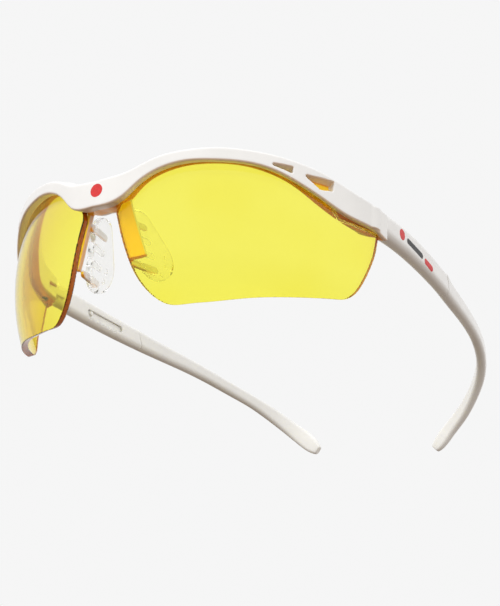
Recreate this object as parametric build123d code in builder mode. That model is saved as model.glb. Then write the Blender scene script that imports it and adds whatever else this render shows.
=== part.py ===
from build123d import *
from math import cos, radians, sin, sqrt, tan
import os

# Half-rim sports protective goggles, in millimetres.
# +Z is up, the lenses face -Y, the temples run back along +Y and the wearer's left is +X.
# The goggles stand on the lower edges of the lenses and on the ends of the temples.
# Both lenses are cut from one sphere, so every place is measured from that sphere's centre.

# Driving dimensions
LENS_RADIUS = 66.0
LENS_THICKNESS = 2.2
SPHERE_Y = -21.69
SPHERE_Z = 28.13
LENS_AXIS_LONGITUDE = 40.0

BROW_EDGE_RADIUS = 0.6

HINGE_X = 62.0
HINGE_Y = -15.0
SCREW_DIAMETER = 1.6
SCREW_HEAD_DIAMETER = 2.8
SCREW_HEAD_HEIGHT = 0.9
SCREW_LENGTH = 5.4
SCREW_BORE_CLEARANCE = 0.04
CROSS_RECESS = (2.0, 0.4, 0.45)
EAR_RADIUS = 4.1
KNUCKLE_RADIUS = 3.0
KNUCKLE_BOTTOM = 6.9
KNUCKLE_TOP = 9.5
HINGE_GAP = 0.12
EAR_BOTTOM = 4.95
EAR_TOP = 12.0
PARTING_Y = -10.0

SLEEVE_START = (63.7, -9.9, 8.9)
SLEEVE_END = (61.2, 38.5, 6.2)
SEAM_SLANT = 25.0
TONGUE_HEIGHT = 3.6
TONGUE_THICKNESS = 1.7
TONGUE_LENGTH = 31.0
TONGUE_CLEARANCE = 0.15
SLOT_LENGTH = 19.5
SLOT_HEIGHT = 2.2
DETENT_COUNT = 5
DETENT_PITCH = 3.3
DETENT_RADIUS = 1.25
DETENT_RISE = 0.75
PEG_RADIUS = 0.85
PEG_HEIGHT = 1.1

PAD_THICKNESS = 2.6
PAD_CENTRE = (8.8, -52.8, -3.1)
PAD_LEAN = 28.0
PAD_EDGE_RADIUS = 0.7
TAB_THICKNESS = 1.1
TAB_WIDTH = 2.2

os.makedirs("parts", exist_ok=True)


def at(x, y, z):
    """A place given from the centre of the lens sphere."""
    return Vector(x, y + SPHERE_Y, z + SPHERE_Z)


CENTRE = at(0, 0, 0)


def lens_plane_point(longitude, height):
    """Where a point of the sphere falls on the plane that touches the lens at its axis."""
    turn = radians(longitude - LENS_AXIS_LONGITUDE)
    rise = height / sqrt(LENS_RADIUS**2 - height**2)
    return (LENS_RADIUS * tan(turn), LENS_RADIUS * rise / cos(turn))


def radial_plane(longitude):
    """The upright plane through the sphere's centre, its x pointing outwards."""
    turn = radians(longitude)
    return Plane(CENTRE, x_dir=(sin(turn), -cos(turn), 0), z_dir=(-cos(turn), -sin(turn), 0))


def lens_axis_plane(distance):
    turn = radians(LENS_AXIS_LONGITUDE)
    outward = Vector(sin(turn), -cos(turn), 0)
    return Plane(CENTRE + outward * distance, x_dir=(cos(turn), sin(turn), 0), z_dir=outward)


# ---------------------------------------------------------------- lens
NOSE_CORNER = (-46.0, 4.2)
NOSE_EDGE = [NOSE_CORNER, (-40.4, -11.7), (-34.2, -22.7), (-25.2, -28.7), (-13.8, -27.2)]
LOWER_EDGE = [(-13.8, -27.2), (1.6, -24.4), (17.0, -23.0), (33.5, -22.5)]
OUTER_EDGE = [(33.5, -22.5), (39.6, -20.9), (45.2, -14.1), (49.9, -5.0), (53.3, 5.7)]
OUTER_CORNER_END = (31.0, 5.5)
LENS_TOP = [(62.0, 9.2), (54.0, 15.2), (46.0, 19.2), (38.0, 20.9), (30.0, 20.7), (20.0, 18.6), (11.0, 14.0)]


def lens_outline(scale):
    with BuildSketch(lens_axis_plane(LENS_RADIUS * scale)) as outline:
        with BuildLine():
            Spline(*[(u * scale, v * scale) for u, v in NOSE_EDGE], tangents=[(0.35, -1), (1, 0.15)])
            Spline(*[(u * scale, v * scale) for u, v in LOWER_EDGE], tangents=[(1, 0.15), (1, 0.0)])
            Spline(*[(u * scale, v * scale) for u, v in OUTER_EDGE], tangents=[(1, 0.0), (0.3, 1)])
            Line(*[(u * scale, v * scale) for u, v in (OUTER_EDGE[-1], OUTER_CORNER_END)])
            top = [OUTER_CORNER_END] + [lens_plane_point(a, z) for a, z in LENS_TOP] + [NOSE_CORNER]
            Spline(*[(u * scale, v * scale) for u, v in top])
        make_face()
    return outline.sketch


with BuildPart() as left_lens:
    with Locations(CENTRE):
        Sphere(LENS_RADIUS)
        Sphere(LENS_RADIUS - LENS_THICKNESS, mode=Mode.SUBTRACT)
    loft(sections=[lens_outline(0.6), lens_outline(1.1)], ruled=True, mode=Mode.INTERSECT)
left_lens.part.label = "left_lens"

with BuildPart() as right_lens:
    mirror(left_lens.part, about=Plane.YZ)
right_lens.part.label = "right_lens"

# ---------------------------------------------------------------- brow frame
# One row for each station along the brow: longitude, then the front face (radius, low, high)
# and the rear face (radius, low, high).
BROW_STATIONS = [
    (-8.0, 68.7, 7.0, 14.6, 60.6, 9.0, 15.6),
    (-4.0, 69.4, 4.9, 13.6, 59.6, 6.6, 14.8),
    (0.0, 69.5, 4.8, 13.2, 59.4, 6.6, 14.4),
    (4.0, 69.4, 4.9, 13.6, 59.6, 6.6, 14.8),
    (8.0, 68.7, 7.0, 14.6, 60.6, 9.0, 15.6),
    (11.0, 68.1, 10.4, 16.2, 60.4, 12.5, 17.4),
    (16.0, 67.2, 14.7, 19.1, 59.9, 16.0, 20.8),
    (23.0, 66.6, 17.3, 21.0, 59.4, 18.3, 23.0),
    (31.0, 66.3, 17.7, 21.9, 59.2, 19.1, 23.9),
    (39.0, 66.2, 17.4, 21.6, 59.2, 18.7, 23.7),
    (46.0, 66.3, 15.9, 20.8, 59.4, 17.1, 22.8),
    (53.0, 66.5, 12.7, 19.4, 60.0, 14.0, 21.2),
    (60.0, 66.8, 9.1, 17.5, 60.4, 9.5, 18.8),
    (66.0, 67.2, 6.2, 15.1, 60.8, 6.4, 15.8),
    (72.0, 67.4, 5.1, 13.3, 60.2, 5.2, 13.6),
    (78.0, 67.3, 4.0, 12.2, 59.9, 4.95, 12.3),
    (84.0, 66.8, 3.8, 11.8, 59.6, 4.95, 12.2),
]
# Vent windows: (longitude, height) corners from the nose end towards the temple.
VENTS = [
    [(43.0, 17.7), (51.2, 17.2), (51.0, 15.2)],
    [(53.7, 15.6), (62.6, 15.1), (62.2, 12.1), (58.5, 11.9)],
]
VENT_CORNER_RADIUS = 0.4
VENT_FLOOR_RADIUS = 65.6
ARM_CENTRES = [(5.6, -62.0, 10.0), (7.0, -61.8, 4.6), (9.1, -61.0, -2.6), (11.5, -60.2, -10.0)]
ARM_WIDTH = 5.2
ARM_THICKNESS = 1.9
ARM_TURN = 37.0
TAB_HEIGHTS = (5.6, -8.2)
TAB_START = -9.3
TAB_END = 1.2
FINGER_STAGGER = 0.18


def pad_plane():
    """The middle plane of the left nose pad: x runs back, y up, z away from the nose."""
    rearward = Vector(0.208, 0.978, 0)
    upward = Vector(-0.21, 0.045, 0.977)
    return Plane(at(*PAD_CENTRE), x_dir=rearward, z_dir=rearward.cross(upward))


def vent_outline(corners, scale):
    with BuildSketch(lens_axis_plane(LENS_RADIUS * scale)) as outline:
        Polygon(*[(u * scale, v * scale) for u, v in corners], align=None)
        fillet(outline.vertices(), VENT_CORNER_RADIUS * scale)
    return outline.sketch


with BuildPart() as vent_cutter:
    for vent in VENTS:
        corners = [lens_plane_point(longitude, height) for longitude, height in vent]
        loft(sections=[vent_outline(corners, 0.8), vent_outline(corners, 1.1)], ruled=True)
    with Locations(CENTRE):
        Sphere(VENT_FLOOR_RADIUS, mode=Mode.SUBTRACT)

with BuildPart() as half_brow:
    for longitude, front, low, high, rear, rear_low, rear_high in BROW_STATIONS:
        with BuildSketch(radial_plane(longitude)):
            Polygon((front, low), (front, high), (rear, rear_high), (rear, rear_low), align=None)
            fillet(vertices(), BROW_EDGE_RADIUS)
    loft()
    split(bisect_by=Plane.YZ, keep=Keep.TOP)

    # the hinge ears stand round the screw
    with BuildSketch(Plane(at(HINGE_X, HINGE_Y, EAR_BOTTOM))):
        Circle(EAR_RADIUS)
    extrude(amount=EAR_TOP - EAR_BOTTOM)

    # vent windows, open to the front of the lens
    add(vent_cutter.part, mode=Mode.SUBTRACT)

    # parting face with the temple: flat outside the screw, round about the screw inside it
    with BuildSketch(Plane(at(HINGE_X, PARTING_Y, 0))):
        Rectangle(20, 20, align=(Align.MIN, Align.MIN))
    extrude(amount=30, mode=Mode.SUBTRACT)
    with BuildSketch(Plane(at(HINGE_X, HINGE_Y, 0))):
        Rectangle(20, 20, align=(Align.MAX, Align.MIN))
        Circle(EAR_RADIUS, mode=Mode.SUBTRACT)
    extrude(amount=30, mode=Mode.SUBTRACT)

    # slot for the temple's knuckle, open to the rear and to the inside
    with BuildSketch(Plane(at(HINGE_X, HINGE_Y, KNUCKLE_BOTTOM - HINGE_GAP))):
        Circle(KNUCKLE_RADIUS + HINGE_GAP)
        with Locations((KNUCKLE_RADIUS + HINGE_GAP, 0)):
            Rectangle(20, 20, align=(Align.MAX, Align.MIN))
        with Locations((0, -KNUCKLE_RADIUS - HINGE_GAP)):
            Rectangle(20, 20, align=(Align.MAX, Align.MIN))
    extrude(amount=KNUCKLE_TOP - KNUCKLE_BOTTOM + 2 * HINGE_GAP, mode=Mode.SUBTRACT)

    # screw hole through the lower ear into the upper one, with the head's recess below
    with BuildSketch(Plane(at(HINGE_X, HINGE_Y, EAR_BOTTOM))):
        Circle(SCREW_DIAMETER / 2)
    extrude(amount=SCREW_LENGTH, mode=Mode.SUBTRACT)
    with BuildSketch(Plane(at(HINGE_X, HINGE_Y, EAR_BOTTOM + SCREW_HEAD_HEIGHT))):
        Circle(SCREW_HEAD_DIAMETER / 2)
    extrude(amount=-2 * SCREW_HEAD_HEIGHT, mode=Mode.SUBTRACT)

with BuildPart() as half_arm:
    for index, centre in enumerate(ARM_CENTRES):
        before = at(*ARM_CENTRES[max(index - 1, 0)])
        after = at(*ARM_CENTRES[min(index + 1, len(ARM_CENTRES) - 1)])
        across = Vector(cos(radians(ARM_TURN)), sin(radians(ARM_TURN)), 0)
        with BuildSketch(Plane(at(*centre), x_dir=across, z_dir=after - before)):
            RectangleRounded(ARM_WIDTH, ARM_THICKNESS, ARM_THICKNESS * 0.45)
    loft()
    # two tabs run back from the arm into the pad
    with BuildSketch(pad_plane()) as tab_profile:
        for height in TAB_HEIGHTS:
            with Locations(((TAB_START + TAB_END) / 2 - height * FINGER_STAGGER, height)):
                SlotOverall(TAB_END - TAB_START, TAB_WIDTH)
    extrude(amount=TAB_THICKNESS / 2, both=True)

with BuildPart() as brow_frame:
    add(half_brow.part)
    mirror(half_brow.part, about=Plane.YZ)
    add(half_arm.part)
    mirror(half_arm.part, about=Plane.YZ)
    add([left_lens.part, right_lens.part], mode=Mode.SUBTRACT)
brow_frame.part.label = "brow_frame"

# ---------------------------------------------------------------- nose pads
PAD_TOP = (6.4, 5.4)
PAD_BOTTOM = (-4.2, 7.2)
POCKET_HEIGHTS = (5.6, 1.0, -3.6, -8.2)
DIMPLE_PLACES = [(6.2, -2.6), (6.0, -5.8), (3.6, -9.2)]
DIMPLE_SIZE = 1.5
DIMPLE_DEPTH = 0.8

with BuildPart() as left_nose_pad:
    with BuildSketch(pad_plane()):
        lean = radians(PAD_LEAN)
        with BuildSketch(Plane.XY, mode=Mode.PRIVATE) as drop:
            for height, radius in (PAD_TOP, PAD_BOTTOM):
                with Locations((-height * sin(lean), height * cos(lean))):
                    Circle(radius)
            make_hull()
        add(drop.sketch)
    extrude(amount=PAD_THICKNESS / 2, both=True)
    fillet(left_nose_pad.edges(), PAD_EDGE_RADIUS)
    # empty finger pockets between the two that hold the arm's tabs
    with BuildSketch(pad_plane()):
        for height in POCKET_HEIGHTS[1:3]:
            with Locations(((TAB_START + TAB_END) / 2 - height * FINGER_STAGGER, height)):
                SlotOverall(TAB_END - TAB_START, TAB_WIDTH)
    extrude(amount=TAB_THICKNESS / 2, both=True, mode=Mode.SUBTRACT)
    # small square recesses near the rear edge, on the side away from the nose
    with BuildSketch(pad_plane().offset(PAD_THICKNESS / 2 - DIMPLE_DEPTH)):
        with Locations(*DIMPLE_PLACES):
            Rectangle(DIMPLE_SIZE, DIMPLE_SIZE)
    extrude(amount=DIMPLE_DEPTH + 1, mode=Mode.SUBTRACT)
    add(half_arm.part, mode=Mode.SUBTRACT)
left_nose_pad.part.label = "left_nose_pad"

with BuildPart() as right_nose_pad:
    mirror(left_nose_pad.part, about=Plane.YZ)
right_nose_pad.part.label = "right_nose_pad"


# ---------------------------------------------------------------- temples
# Each temple is a sleeve that carries the hinge knuckle, and a tip whose tongue slides in the sleeve.
# Stations run back along the temple: centre, then section height and thickness.
SLEEVE_STATIONS = [
    ((62.9, -10.5, 8.9), 7.9, 6.6),
    ((63.3, -4.0, 8.9), 7.9, 5.6),
    ((63.4, 8.0, 8.5), 7.8, 5.0),
    ((62.6, 25.0, 7.4), 7.4, 4.7),
    ((61.1, 40.0, 6.3), 6.9, 4.5),
    ((60.1, 47.0, 5.6), 6.5, 4.4),
]
TIP_START = [
    ((62.6, 25.0, 7.4), 7.4, 4.7),
    ((61.1, 40.0, 6.3), 6.9, 4.5),
    ((59.2, 53.0, 5.1), 6.1, 4.2),
    ((57.1, 67.0, 3.9), 5.4, 3.9),
    ((54.5, 80.5, 2.0), 5.0, 3.7),
]
# The soft ends are bent by hand to the wearer's ear, the left one a little lower than the right.
LEFT_TIP_STATIONS = TIP_START + [
    ((51.5, 91.0, -1.3), 5.0, 3.6),
    ((47.0, 99.3, -5.9), 5.1, 3.5),
    ((41.1, 105.2, -11.2), 5.2, 3.2),
    ((34.9, 109.0, -16.4), 5.4, 3.1),
    ((29.4, 110.8, -20.9), 5.4, 3.0),
    ((25.4, 111.2, -25.2), 4.8, 2.7),
    ((23.6, 111.2, -27.0), 3.2, 2.0),
]
RIGHT_TIP_STATIONS = TIP_START + [
    ((50.8, 91.0, -0.8), 4.8, 3.5),
    ((45.6, 100.2, -4.7), 5.0, 3.3),
    ((39.9, 107.2, -9.7), 5.6, 3.1),
    ((33.6, 110.8, -15.1), 6.2, 2.9),
    ((27.6, 111.2, -20.1), 5.4, 2.6),
    ((25.4, 111.0, -22.0), 3.2, 2.0),
]
SECTION_ROUNDING = 0.42


def temple_plane(stations, index):
    """Across the temple at one station: x outwards, y up."""
    before = at(*stations[max(index - 1, 0)][0])
    after = at(*stations[min(index + 1, len(stations) - 1)][0])
    along = (after - before).normalized()
    return Plane(at(*stations[index][0]), x_dir=(along.Y, -along.X, 0), z_dir=along)


def temple_sections(stations):
    sections = []
    for index, (centre, height, thickness) in enumerate(stations):
        with BuildSketch(temple_plane(stations, index)) as section:
            RectangleRounded(thickness, height, min(thickness, height) * SECTION_ROUNDING)
        sections.append(section.sketch)
    return sections


SLIDE_AXIS = (Vector(*SLEEVE_END) - Vector(*SLEEVE_START)).normalized()
SLIDE_SIDE = Vector(SLIDE_AXIS.Y, -SLIDE_AXIS.X, 0).normalized()


def slide_plane(distance):
    """Across the slide axis, measured back from the front of the temple."""
    return Plane(at(*SLEEVE_START) + SLIDE_AXIS * distance, x_dir=SLIDE_SIDE, z_dir=SLIDE_AXIS)


SEAM_DISTANCE = (Vector(*SLEEVE_END) - Vector(*SLEEVE_START)).length
TONGUE_FRONT = SEAM_DISTANCE - TONGUE_LENGTH
SLOT_FRONT = TONGUE_FRONT + 1.5
PEG_DISTANCE = SLOT_FRONT + DETENT_RADIUS + 0.9
SEAM_GAP = 0.06


def seam_plane(gap):
    """The slanted joint face between sleeve and tip."""
    slant = radians(SEAM_SLANT)
    upward = SLIDE_SIDE.cross(SLIDE_AXIS)
    normal = SLIDE_AXIS * cos(slant) + upward * sin(slant)
    return Plane(at(*SLEEVE_END) + SLIDE_AXIS * gap, z_dir=normal)


def inner_wall_plane(distance):
    """Looking outwards from the wearer's side: x along the slide, y up."""
    middle = at(*SLEEVE_START) + SLIDE_AXIS * distance
    return Plane(middle, x_dir=SLIDE_AXIS, z_dir=-SLIDE_SIDE)


with BuildPart() as left_temple_sleeve:
    loft(sections=temple_sections(SLEEVE_STATIONS))
    split(bisect_by=seam_plane(0), keep=Keep.BOTTOM)
    # front face, flat outside the screw and clear of the ears inside it
    with BuildSketch(Plane(at(0, PARTING_Y + HINGE_GAP, 0))):
        Rectangle(200, 20, align=(Align.MIN, Align.MAX))
    extrude(amount=30, mode=Mode.SUBTRACT)
    with BuildSketch(Plane(at(HINGE_X, HINGE_Y, KNUCKLE_BOTTOM))):
        Circle(KNUCKLE_RADIUS)
        Rectangle(2 * KNUCKLE_RADIUS, 8, align=(Align.CENTER, Align.MIN))
    extrude(amount=KNUCKLE_TOP - KNUCKLE_BOTTOM)
    with Locations(at(HINGE_X, HINGE_Y, KNUCKLE_BOTTOM)):
        Cylinder(
            SCREW_DIAMETER / 2 + SCREW_BORE_CLEARANCE,
            20,
            mode=Mode.SUBTRACT,
        )
    # pocket for the tongue
    with BuildSketch(slide_plane(TONGUE_FRONT - 1)):
        Rectangle(TONGUE_THICKNESS + 2 * TONGUE_CLEARANCE, TONGUE_HEIGHT + 2 * TONGUE_CLEARANCE)
    extrude(amount=TONGUE_LENGTH + 12, mode=Mode.SUBTRACT)
    # slot through the inner wall, its upper edge scalloped by the detents
    with BuildSketch(inner_wall_plane(SLOT_FRONT)):
        SlotOverall(SLOT_LENGTH, SLOT_HEIGHT, align=(Align.MIN, Align.CENTER))
        for step in range(DETENT_COUNT):
            with Locations((PEG_DISTANCE - SLOT_FRONT + step * DETENT_PITCH, DETENT_RISE)):
                Circle(DETENT_RADIUS)
    extrude(amount=10, mode=Mode.SUBTRACT)
left_temple_sleeve.part.label = "left_temple_sleeve"

def temple_tip(stations):
    """A left-hand tip: the ear hook with the tongue and peg that run in the sleeve."""
    with BuildPart() as tip:
        loft(sections=temple_sections(stations))
        split(bisect_by=seam_plane(SEAM_GAP), keep=Keep.TOP)
        with BuildSketch(slide_plane(TONGUE_FRONT)):
            Rectangle(TONGUE_THICKNESS, TONGUE_HEIGHT)
        extrude(amount=TONGUE_LENGTH + 4)
        with BuildSketch(inner_wall_plane(PEG_DISTANCE)):
            Circle(PEG_RADIUS)
        extrude(amount=TONGUE_THICKNESS / 2 + PEG_HEIGHT)
    return tip


left_temple_tip = temple_tip(LEFT_TIP_STATIONS)
left_temple_tip.part.label = "left_temple_tip"

tip_to_mirror = temple_tip(RIGHT_TIP_STATIONS)
with BuildPart() as right_temple_tip:
    mirror(tip_to_mirror.part, about=Plane.YZ)
right_temple_tip.part.label = "right_temple_tip"

with BuildPart() as left_hinge_screw:
    with Locations(at(HINGE_X, HINGE_Y, EAR_BOTTOM)):
        Cylinder(SCREW_HEAD_DIAMETER / 2, SCREW_HEAD_HEIGHT, align=(Align.CENTER, Align.CENTER, Align.MIN))
        Cylinder(SCREW_DIAMETER / 2, SCREW_LENGTH, align=(Align.CENTER, Align.CENTER, Align.MIN))
    cross_length, cross_width, cross_depth = CROSS_RECESS
    with BuildSketch(Plane(at(HINGE_X, HINGE_Y, EAR_BOTTOM))):
        Rectangle(cross_length, cross_width)
        Rectangle(cross_width, cross_length)
    extrude(amount=cross_depth, mode=Mode.SUBTRACT)
left_hinge_screw.part.label = "left_hinge_screw"

with BuildPart() as right_temple_sleeve:
    mirror(left_temple_sleeve.part, about=Plane.YZ)
right_temple_sleeve.part.label = "right_temple_sleeve"

with BuildPart() as right_hinge_screw:
    mirror(left_hinge_screw.part, about=Plane.YZ)
right_hinge_screw.part.label = "right_hinge_screw"

# ---------------------------------------------------------------- files
PIECES = [
    brow_frame,
    left_lens,
    right_lens,
    left_nose_pad,
    right_nose_pad,
    left_hinge_screw,
    right_hinge_screw,
    left_temple_sleeve,
    right_temple_sleeve,
    left_temple_tip,
    right_temple_tip,
]
for piece in PIECES:
    export_step(piece.part, f"parts/{piece.part.label}.step")
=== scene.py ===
from math import cos, radians, sin

import bmesh
import bpy
import numpy as np
from mathutils import Matrix, Vector
from mathutils.bvhtree import BVHTree


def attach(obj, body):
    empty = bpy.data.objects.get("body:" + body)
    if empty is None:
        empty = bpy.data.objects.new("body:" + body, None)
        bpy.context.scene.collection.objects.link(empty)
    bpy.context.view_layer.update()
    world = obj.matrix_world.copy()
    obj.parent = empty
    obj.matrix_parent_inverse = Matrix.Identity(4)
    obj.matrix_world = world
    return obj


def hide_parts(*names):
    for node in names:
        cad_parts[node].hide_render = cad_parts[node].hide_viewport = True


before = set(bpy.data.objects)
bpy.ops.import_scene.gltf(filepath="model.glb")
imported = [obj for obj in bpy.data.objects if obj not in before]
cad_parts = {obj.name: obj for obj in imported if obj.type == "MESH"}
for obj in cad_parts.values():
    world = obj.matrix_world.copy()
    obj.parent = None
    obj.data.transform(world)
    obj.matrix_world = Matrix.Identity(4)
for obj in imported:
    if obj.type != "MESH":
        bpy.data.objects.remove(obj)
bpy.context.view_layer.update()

MM = 0.001
LENS_CENTRE = Vector((0, -21.69, 28.13)) * MM
LENS_FRONT = 66.0 * MM
LENS_BACK = 63.8 * MM

# Blender's noise gathers between these two values.
NOISE_LOW = 0.3
NOISE_HIGH = 0.7

# The painted amber light and shade lie on what is behind the lens, down to the depth below under its
# back face.
AMBER_PAINT_DEPTH = 3.0 * MM
AMBER_PAINT_FADE = 1.0 * MM
AMBER_PAINT_BLUR = 0.25 * MM
# Cosines between which the skin starts to face the lens, or to look down.
FACES_LENS = (0.6, 0.8)
LOOKS_DOWN = (0.1, 0.5)
GRAZING_AMBER = (0.8, 0.5, 0.0)
# Painted light: amber light and amber shade on the frame behind the lens, and a painted warm bounce on
# what looks down.
AMBER_LIGHT = (1.0, 0.66, 0.03)
AMBER_SHADE = (0.9, 0.36, 0.01)
WARM_BOUNCE = (0.76, 0.6, 0.48)


# ---------------------------------------------------------------- materials
class Nodes:
    """A material with a Principled shader and short calls for the nodes that feed it."""

    def __init__(self, name, **sockets):
        self.material = bpy.data.materials.new(name)
        self.material.use_nodes = True
        self.tree = self.material.node_tree
        self.shader = self.tree.nodes["Principled BSDF"]
        for socket, value in sockets.items():
            self.shader.inputs[socket.replace("_", " ")].default_value = value
        self.place = self.new("ShaderNodeTexCoord").outputs["Object"]

    def new(self, kind, **properties):
        node = self.tree.nodes.new(kind)
        for name, value in properties.items():
            setattr(node, name, value)
        return node

    def link(self, source, target):
        self.tree.links.new(source, target)

    def feed(self, socket, source):
        """Drives a socket of the shader."""
        self.link(source, self.shader.inputs[socket])

    def noise(self, grain, detail=3.0):
        """Noise whose features are about grain metres across."""
        node = self.new("ShaderNodeTexNoise")
        node.inputs["Scale"].default_value = 1 / grain
        node.inputs["Detail"].default_value = detail
        self.link(self.place, node.inputs["Vector"])
        return node.outputs["Fac"]

    def ramp(self, source, *stops):
        """Colours (position, (r, g, b)) along a value."""
        node = self.new("ShaderNodeValToRGB")
        elements = node.color_ramp.elements
        while len(elements) < len(stops):
            elements.new(0.5)
        for element, (position, colour) in zip(elements, stops):
            element.position = position
            element.color = (*colour, 1)
        self.link(source, node.inputs["Fac"])
        return node.outputs["Color"]

    def range(self, source, low, high):
        """Spreads a noise over low to high."""
        node = self.new("ShaderNodeMapRange")
        node.inputs["From Min"].default_value = NOISE_LOW
        node.inputs["From Max"].default_value = NOISE_HIGH
        node.inputs["To Min"].default_value = low
        node.inputs["To Max"].default_value = high
        self.link(source, node.inputs["Value"])
        return node.outputs["Result"]

    def product(self, first, second):
        """The product of two values, kept within 0 and 1."""
        node = self.new("ShaderNodeMath", operation="MULTIPLY", use_clamp=True)
        self.link(first, node.inputs[0])
        self.link(second, node.inputs[1])
        return node.outputs["Value"]

    def vectors(self, operation, output, *values):
        """A vector operation on sockets or plain vectors."""
        node = self.new("ShaderNodeVectorMath", operation=operation)
        for socket, value in zip(node.inputs, values):
            if isinstance(value, bpy.types.NodeSocket):
                self.link(value, socket)
            else:
                socket.default_value = value
        return node.outputs[output]

    def step(self, source, start, end):
        """Rises smoothly from 0 at start to 1 at end."""
        node = self.new("ShaderNodeMapRange", interpolation_type="SMOOTHSTEP")
        node.inputs["From Min"].default_value = start
        node.inputs["From Max"].default_value = end
        self.link(source, node.inputs["Value"])
        return node.outputs["Result"]

    def lens_light(self, colour):
        """Paints light and shade into the frame's skin: a painted warm bounce on all that looks down,
        and painted amber light and amber shade just behind the lens.
        """
        arm = self.vectors("SUBTRACT", "Vector", self.place, tuple(LENS_CENTRE))
        outward = self.vectors("NORMALIZE", "Vector", arm)
        normal = self.new("ShaderNodeTexCoord").outputs["Normal"]
        facing = self.step(self.vectors("DOT_PRODUCT", "Value", normal, outward), *FACES_LENS)
        looks_down = self.step(self.vectors("DOT_PRODUCT", "Value", normal, (0, 0, -1)), *LOOKS_DOWN)
        radius = self.vectors("LENGTH", "Value", arm)
        under_front = self.step(radius, LENS_FRONT + AMBER_PAINT_BLUR, LENS_FRONT - AMBER_PAINT_BLUR)
        near_back = self.step(radius, LENS_BACK - AMBER_PAINT_DEPTH, LENS_BACK - AMBER_PAINT_DEPTH + AMBER_PAINT_FADE)
        inside = self.product(under_front, near_back)
        # Painted warm bounce light on every surface that looks down.
        colour = self.mix(looks_down, colour, WARM_BOUNCE)
        # Painted amber light on what faces outward from just behind the lens.
        colour = self.mix(self.product(inside, facing), colour, AMBER_LIGHT)
        # Painted amber shade on what looks down just behind the lens.
        return self.mix(self.product(inside, looks_down), colour, AMBER_SHADE)

    def mix(self, factor, first, second):
        """From the colour of a socket to a plain one."""
        node = self.new("ShaderNodeMix", data_type="RGBA")
        self.link(factor, node.inputs["Factor"])
        self.link(first, node.inputs["A"])
        node.inputs["B"].default_value = (*second, 1)
        return node.outputs["Result"]

    def bump(self, source, height, strength):
        node = self.new("ShaderNodeBump")
        node.inputs["Strength"].default_value = strength
        node.inputs["Distance"].default_value = height
        self.link(source, node.inputs["Height"])
        self.feed("Normal", node.outputs["Normal"])


def white_plastic(name, tint, holds_lens=False):
    """Gloss moulded plastic with faint flow clouds, handling marks and an orange-peel skin."""
    nodes = Nodes(name, Coat_Weight=0.25, Coat_Roughness=0.12, IOR=1.5)
    clouds = nodes.noise(9 * MM, detail=4)
    dimmer = tuple(channel * 0.965 for channel in tint)
    colour = nodes.ramp(clouds, (0.35, dimmer), (0.65, tint))
    # Where the plastic holds the lens, painted amber light and shade and a painted warm bounce go into
    # its colour.
    if holds_lens:
        colour = nodes.lens_light(colour)
    nodes.feed("Base Color", colour)
    nodes.feed("Roughness", nodes.range(nodes.noise(2.5 * MM, detail=6), 0.28, 0.42))
    nodes.bump(nodes.noise(0.55 * MM, detail=2), 0.012 * MM, 0.6)
    return nodes.material


def lens_rim(name):
    """The cut edge of the lens, where the tint gathers to a dark amber."""
    nodes = Nodes(name, Coat_Weight=0.3, IOR=1.5)
    streaks = nodes.noise(1.2 * MM, detail=4)
    dark, light = (0.42, 0.085, 0.002), (0.58, 0.15, 0.004)
    nodes.feed("Base Color", nodes.ramp(streaks, (0.35, dark), (0.7, light)))
    nodes.feed("Roughness", nodes.range(nodes.noise(0.5 * MM), 0.1, 0.25))
    nodes.bump(nodes.noise(0.3 * MM, detail=2), 0.01 * MM, 0.5)
    return nodes.material


def lens_plastic(name, tint, deeper):
    """Clear tinted polycarbonate with the faint waviness of a moulded shield."""
    nodes = Nodes(name, Transmission_Weight=1.0, IOR=1.45)
    clouds = nodes.noise(30 * MM, detail=2)
    grazing = nodes.step(nodes.new("ShaderNodeLayerWeight").outputs["Facing"], 0.25, 0.75)
    colour = nodes.mix(grazing, nodes.ramp(clouds, (0.35, deeper), (0.65, tint)), GRAZING_AMBER)
    nodes.feed("Base Color", colour)
    nodes.feed("Roughness", nodes.range(nodes.noise(4 * MM, detail=6), 0.01, 0.035))
    nodes.bump(nodes.noise(14 * MM, detail=1), 0.02 * MM, 0.3)
    return nodes.material


def clear_rubber(name):
    """Clear soft silicone, slightly milky, with a fine satin skin."""
    nodes = Nodes(name, Transmission_Weight=0.97, IOR=1.16)
    clouds = nodes.noise(3 * MM, detail=3)
    pale, paler = (0.93, 0.925, 0.91), (0.985, 0.98, 0.97)
    nodes.feed("Base Color", nodes.ramp(clouds, (0.3, pale), (0.7, paler)))
    nodes.feed("Roughness", nodes.range(nodes.noise(0.8 * MM, detail=4), 0.03, 0.08))
    nodes.bump(nodes.noise(0.9 * MM, detail=1), 0.004 * MM, 0.3)
    return nodes.material


def screw_steel(name):
    """Dark plated steel with worn spots."""
    nodes = Nodes(name, Metallic=1.0, IOR=2.5)
    wear = nodes.noise(0.4 * MM, detail=5)
    dark, light = (0.16, 0.15, 0.14), (0.34, 0.32, 0.3)
    nodes.feed("Base Color", nodes.ramp(wear, (0.35, dark), (0.7, light)))
    nodes.feed("Roughness", nodes.range(wear, 0.25, 0.5))
    nodes.bump(nodes.noise(0.15 * MM, detail=2), 0.01 * MM, 0.5)
    return nodes.material


FRAME_WHITE = white_plastic("frame_white", (0.87, 0.865, 0.85), holds_lens=True)
TEMPLE_WHITE = white_plastic("temple_white", (0.87, 0.865, 0.85))
TIP_WHITE = white_plastic("tip_white", (0.86, 0.855, 0.84))
LENS_YELLOW = lens_plastic("lens_yellow", (1.0, 0.945, 0.115), (0.99, 0.92, 0.09))
LENS_RIM = lens_rim("lens_rim")
PAD_CLEAR = clear_rubber("pad_clear")
STEEL = screw_steel("screw_steel")


# ---------------------------------------------------------------- pieces
WELD = 0.0005 * MM
RIM_EDGE = 0.25 * MM
LENS_CLEARANCE = 0.04 * MM
SNAP_REACH = 0.25 * MM


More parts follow.
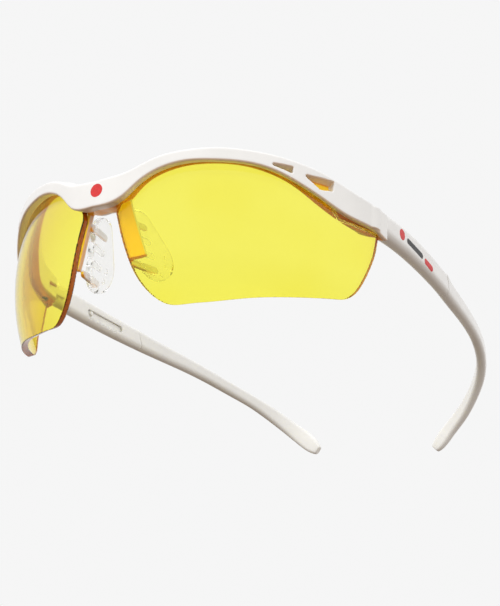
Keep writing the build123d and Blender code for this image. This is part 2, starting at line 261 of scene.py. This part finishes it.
def welded_copy(node, name):
    """A new object with a CAD node's mesh, its vertices joined into one closed skin."""
    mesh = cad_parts[node].data.copy()
    work = bmesh.new()
    work.from_mesh(mesh)
    bmesh.ops.remove_doubles(work, verts=work.verts, dist=WELD)
    work.to_mesh(mesh)
    work.free()
    mesh.materials.clear()
    piece = bpy.data.objects.new(name, mesh)
    bpy.context.scene.collection.objects.link(piece)
    return piece


def settle(piece):
    """Applies the modifiers of a piece to its mesh."""
    evaluated = piece.evaluated_get(bpy.context.evaluated_depsgraph_get())
    mesh = bpy.data.meshes.new_from_object(evaluated)
    piece.modifiers.clear()
    piece.data = mesh


def moulded(node, body, material, voxel, rounds):
    """A moulded stand-in for a CAD node: the same solid with its edges softly rounded."""
    piece = welded_copy(node, node + "_moulded")
    skin = piece.modifiers.new("skin", "REMESH")
    skin.mode = "VOXEL"
    skin.voxel_size = voxel
    skin.use_smooth_shade = True
    soften = piece.modifiers.new("soften", "SMOOTH")
    soften.factor = 0.5
    soften.iterations = rounds
    settle(piece)
    piece.data.materials.append(material)
    piece.data.polygons.foreach_set("use_smooth", [True] * len(piece.data.polygons))
    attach(piece, body)
    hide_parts(node)
    return piece


def snap_to_sphere(piece, radius, reach):
    """Moves the vertices that lie near a sphere about the lens centre exactly onto it."""
    mesh = piece.data
    points = np.empty(len(mesh.vertices) * 3)
    mesh.vertices.foreach_get("co", points)
    points = points.reshape(-1, 3)
    centre = np.array(LENS_CENTRE)
    arm = points - centre
    distance = np.linalg.norm(arm, axis=1)
    near = abs(distance - radius) < reach
    points[near] = centre + arm[near] * (radius / distance[near])[:, None]
    mesh.vertices.foreach_set("co", points.ravel())
    mesh.update()


def lens(side):
    """A lens with true spherical faces, a hair thinner than its groove, and an amber cut edge."""
    piece = moulded(side + "_lens", "front", LENS_YELLOW, 0.28 * MM, 6)
    snap_to_sphere(piece, LENS_FRONT - LENS_CLEARANCE, SNAP_REACH)
    snap_to_sphere(piece, LENS_BACK + LENS_CLEARANCE, SNAP_REACH)
    piece.visible_shadow = False
    piece.data.materials.append(LENS_RIM)
    for face in piece.data.polygons:
        if LENS_BACK + RIM_EDGE < (face.center - LENS_CENTRE).length < LENS_FRONT - RIM_EDGE:
            face.material_index = 1


SLEEVES = {}
BROW = moulded("brow_frame", "front", FRAME_WHITE, 0.22 * MM, 6)
for side in ("left", "right"):
    lens(side)
    pad = moulded(side + "_nose_pad", "front", PAD_CLEAR, 0.16 * MM, 10)
    pad.visible_shadow = False
    temple = side + "_temple"
    SLEEVES[side] = moulded(temple + "_sleeve", temple, TEMPLE_WHITE, 0.22 * MM, 4)
    moulded(side + "_temple_tip", side + "_tip", TIP_WHITE, 0.25 * MM, 4)
    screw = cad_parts[side + "_hinge_screw"]
    screw.data.materials.clear()
    screw.data.materials.append(STEEL)


# ---------------------------------------------------------------- printed marks
INK_LIFT = 0.03 * MM
CAST_FROM = 5 * MM
ROUND_STEPS = 32
CUTS = 3
# The marks on a sleeve run back and a little down. They lie about this many mm out from the middle.
MARK_SLOPE = -0.12
MARK_PLANE = 66.0


def print_ink(name, colour):
    """Printed ink, a little uneven and duller than the plastic below."""
    nodes = Nodes(name, IOR=1.5)
    thin = tuple(channel * 0.75 for channel in colour)
    cover = nodes.noise(0.6 * MM, detail=4)
    nodes.feed("Base Color", nodes.ramp(cover, (0.35, thin), (0.6, colour)))
    nodes.feed("Roughness", nodes.range(nodes.noise(0.4 * MM), 0.35, 0.5))
    nodes.bump(nodes.noise(0.3 * MM, detail=2), 0.004 * MM, 0.5)
    return nodes.material


def stadium(length, width):
    """The outline of a bar with round ends; a disc where length equals width."""
    radius = width / 2
    points = []
    for step in range(ROUND_STEPS):
        turn = radians(360 * step / ROUND_STEPS - 90)
        reach = (length / 2 - radius) * (1 if step <= ROUND_STEPS / 2 else -1)
        points.append((reach + radius * cos(turn), radius * sin(turn)))
    return points


def printed_mark(name, surface, body, material, middle, along, look, outline):
    """Lays a thin flat mark on a piece: its outline is cast along look onto the surface."""
    skin = BVHTree.FromObject(surface, bpy.context.evaluated_depsgraph_get())
    look = Vector(look).normalized()
    along = (Vector(along) - look * look.dot(Vector(along))).normalized()
    upward = along.cross(look)
    work = bmesh.new()
    work.faces.new([work.verts.new((x, y, 0)) for x, y in outline])
    bmesh.ops.triangulate(work, faces=work.faces)
    bmesh.ops.subdivide_edges(work, edges=work.edges, cuts=CUTS, use_grid_fill=True)
    for vert in work.verts:
        start = middle + along * vert.co.x + upward * vert.co.y - look * CAST_FROM
        hit, normal, _, _ = skin.ray_cast(start, look)
        vert.co = hit + normal * INK_LIFT
    mesh = bpy.data.meshes.new(name)
    work.to_mesh(mesh)
    work.free()
    mesh.materials.append(material)
    mark = bpy.data.objects.new(name, mesh)
    bpy.context.scene.collection.objects.link(mark)
    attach(mark, body)


RED_INK = print_ink("red_ink", (0.75, 0.03, 0.03))
BLACK_INK = print_ink("black_ink", (0.03, 0.03, 0.03))
BRIDGE_MARK = LENS_CENTRE + Vector((1.2, -69.4, 10.0)) * MM
printed_mark(
    "bridge_dot", BROW, "front", RED_INK, BRIDGE_MARK,
    (1, 0, 0), (0, 1, 0), stadium(4.2 * MM, 4.2 * MM),
)
for side, outward in (("left", 1), ("right", -1)):
    # kind, ink, place back along the sleeve, height, length and width, in mm
    marks = (
        ("dot", RED_INK, 0.3, 9.0, 3.6, 3.6),
        ("black_bar", BLACK_INK, 9.6, 7.7, 12.0, 1.9),
        ("red_bar", RED_INK, 20.4, 6.1, 7.0, 1.9),
    )
    for kind, ink, back, height, length, width in marks:
        middle = LENS_CENTRE + Vector((MARK_PLANE * outward, back, height)) * MM
        printed_mark(
            side + "_" + kind, SLEEVES[side], side + "_temple", ink, middle,
            (0, 1, MARK_SLOPE), (-outward, 0, 0), stadium(length * MM, width * MM),
        )


# ---------------------------------------------------------------- studio
CAMERA_PLACE = LENS_CENTRE + Vector((272.5, -413.5, -183.35)) * MM
CAMERA_AZIMUTH = radians(32.24)
CAMERA_ELEVATION = radians(-20.12)
CAMERA_ROLL = radians(1.65)
CAMERA_LENS = 96.45
FLOOR_HEIGHT = -0.26
FLOOR_SIZE = 8.0
DIM_BELOW = -0.3
PALE_ABOVE = 0.12
DIM_ROOM = (0.30, 0.245, 0.20)
PALE_ROOM = (0.92, 0.92, 0.92)


def camera():
    """A long lens below and to the left of the wearer's face, looking up at the goggles."""
    data = bpy.data.cameras.new("camera")
    data.lens = CAMERA_LENS
    data.sensor_width = 36
    data.clip_start = 0.01
    made = bpy.data.objects.new("camera", data)
    bpy.context.scene.collection.objects.link(made)
    around, raised, roll = CAMERA_AZIMUTH, CAMERA_ELEVATION, CAMERA_ROLL
    back = Vector((sin(around) * cos(raised), -cos(around) * cos(raised), sin(raised)))
    level = Vector((cos(around), sin(around), 0))
    up = back.cross(level)
    across = level * cos(roll) + up * sin(roll)
    upright = up * cos(roll) - level * sin(roll)
    turn = Matrix((across, upright, back)).transposed().to_4x4()
    made.matrix_world = Matrix.Translation(CAMERA_PLACE) @ turn
    bpy.context.scene.camera = made


def softbox(name, place, aim, size, power):
    """A round soft light that doesn't show in the picture or in reflections."""
    data = bpy.data.lights.new(name, "AREA")
    data.shape = "DISK"
    data.size = size
    data.energy = power
    made = bpy.data.objects.new(name, data)
    bpy.context.scene.collection.objects.link(made)
    made.location = place
    made.rotation_euler = (Vector(aim) - Vector(place)).to_track_quat("-Z", "Y").to_euler()
    made.visible_camera = False
    made.visible_glossy = False
    made.visible_transmission = False


def floor():
    """A pale backdrop below the goggles, which takes no part in their light or reflections."""
    bpy.ops.mesh.primitive_plane_add(size=FLOOR_SIZE, location=(0, 0, FLOOR_HEIGHT))
    plane = bpy.context.active_object
    plane.name = "floor"
    nodes = Nodes("floor_paper", Roughness=0.9)
    grain = nodes.noise(2 * MM, detail=2)
    darker, paler = (0.87, 0.87, 0.865), (0.89, 0.89, 0.885)
    nodes.feed("Base Color", nodes.ramp(grain, (0.3, darker), (0.7, paler)))
    plane.data.materials.append(nodes.material)
    plane.visible_diffuse = False
    plane.visible_glossy = False


def surroundings():
    """A pale room above the horizon and a dim warm one below it."""
    world = bpy.data.worlds.new("studio")
    bpy.context.scene.world = world
    world.use_nodes = True
    tree = world.node_tree
    background = tree.nodes["Background"]
    direction = tree.nodes.new("ShaderNodeTexCoord").outputs["Generated"]
    split = tree.nodes.new("ShaderNodeSeparateXYZ")
    tree.links.new(direction, split.inputs["Vector"])
    shift = tree.nodes.new("ShaderNodeMapRange")
    shift.inputs["From Min"].default_value = DIM_BELOW
    shift.inputs["From Max"].default_value = PALE_ABOVE
    tree.links.new(split.outputs["Z"], shift.inputs["Value"])
    ramp = tree.nodes.new("ShaderNodeValToRGB")
    ramp.color_ramp.elements[0].color = (*DIM_ROOM, 1)
    ramp.color_ramp.elements[1].color = (*PALE_ROOM, 1)
    tree.links.new(shift.outputs["Result"], ramp.inputs["Fac"])
    tree.links.new(ramp.outputs["Color"], background.inputs["Color"])


camera()
floor()
surroundings()
softbox("key", place=(-0.5, -1.0, 0.9), aim=(0, 0, 0), size=0.9, power=10)
softbox("side", place=(1.0, -0.7, 0.3), aim=(0, 0, 0), size=0.7, power=4)
softbox("inner", place=(0.05, 0.36, -0.02), aim=(-0.06, 0.03, 0.02), size=0.15, power=0.5)
bpy.context.scene.view_settings.view_transform = "Standard"
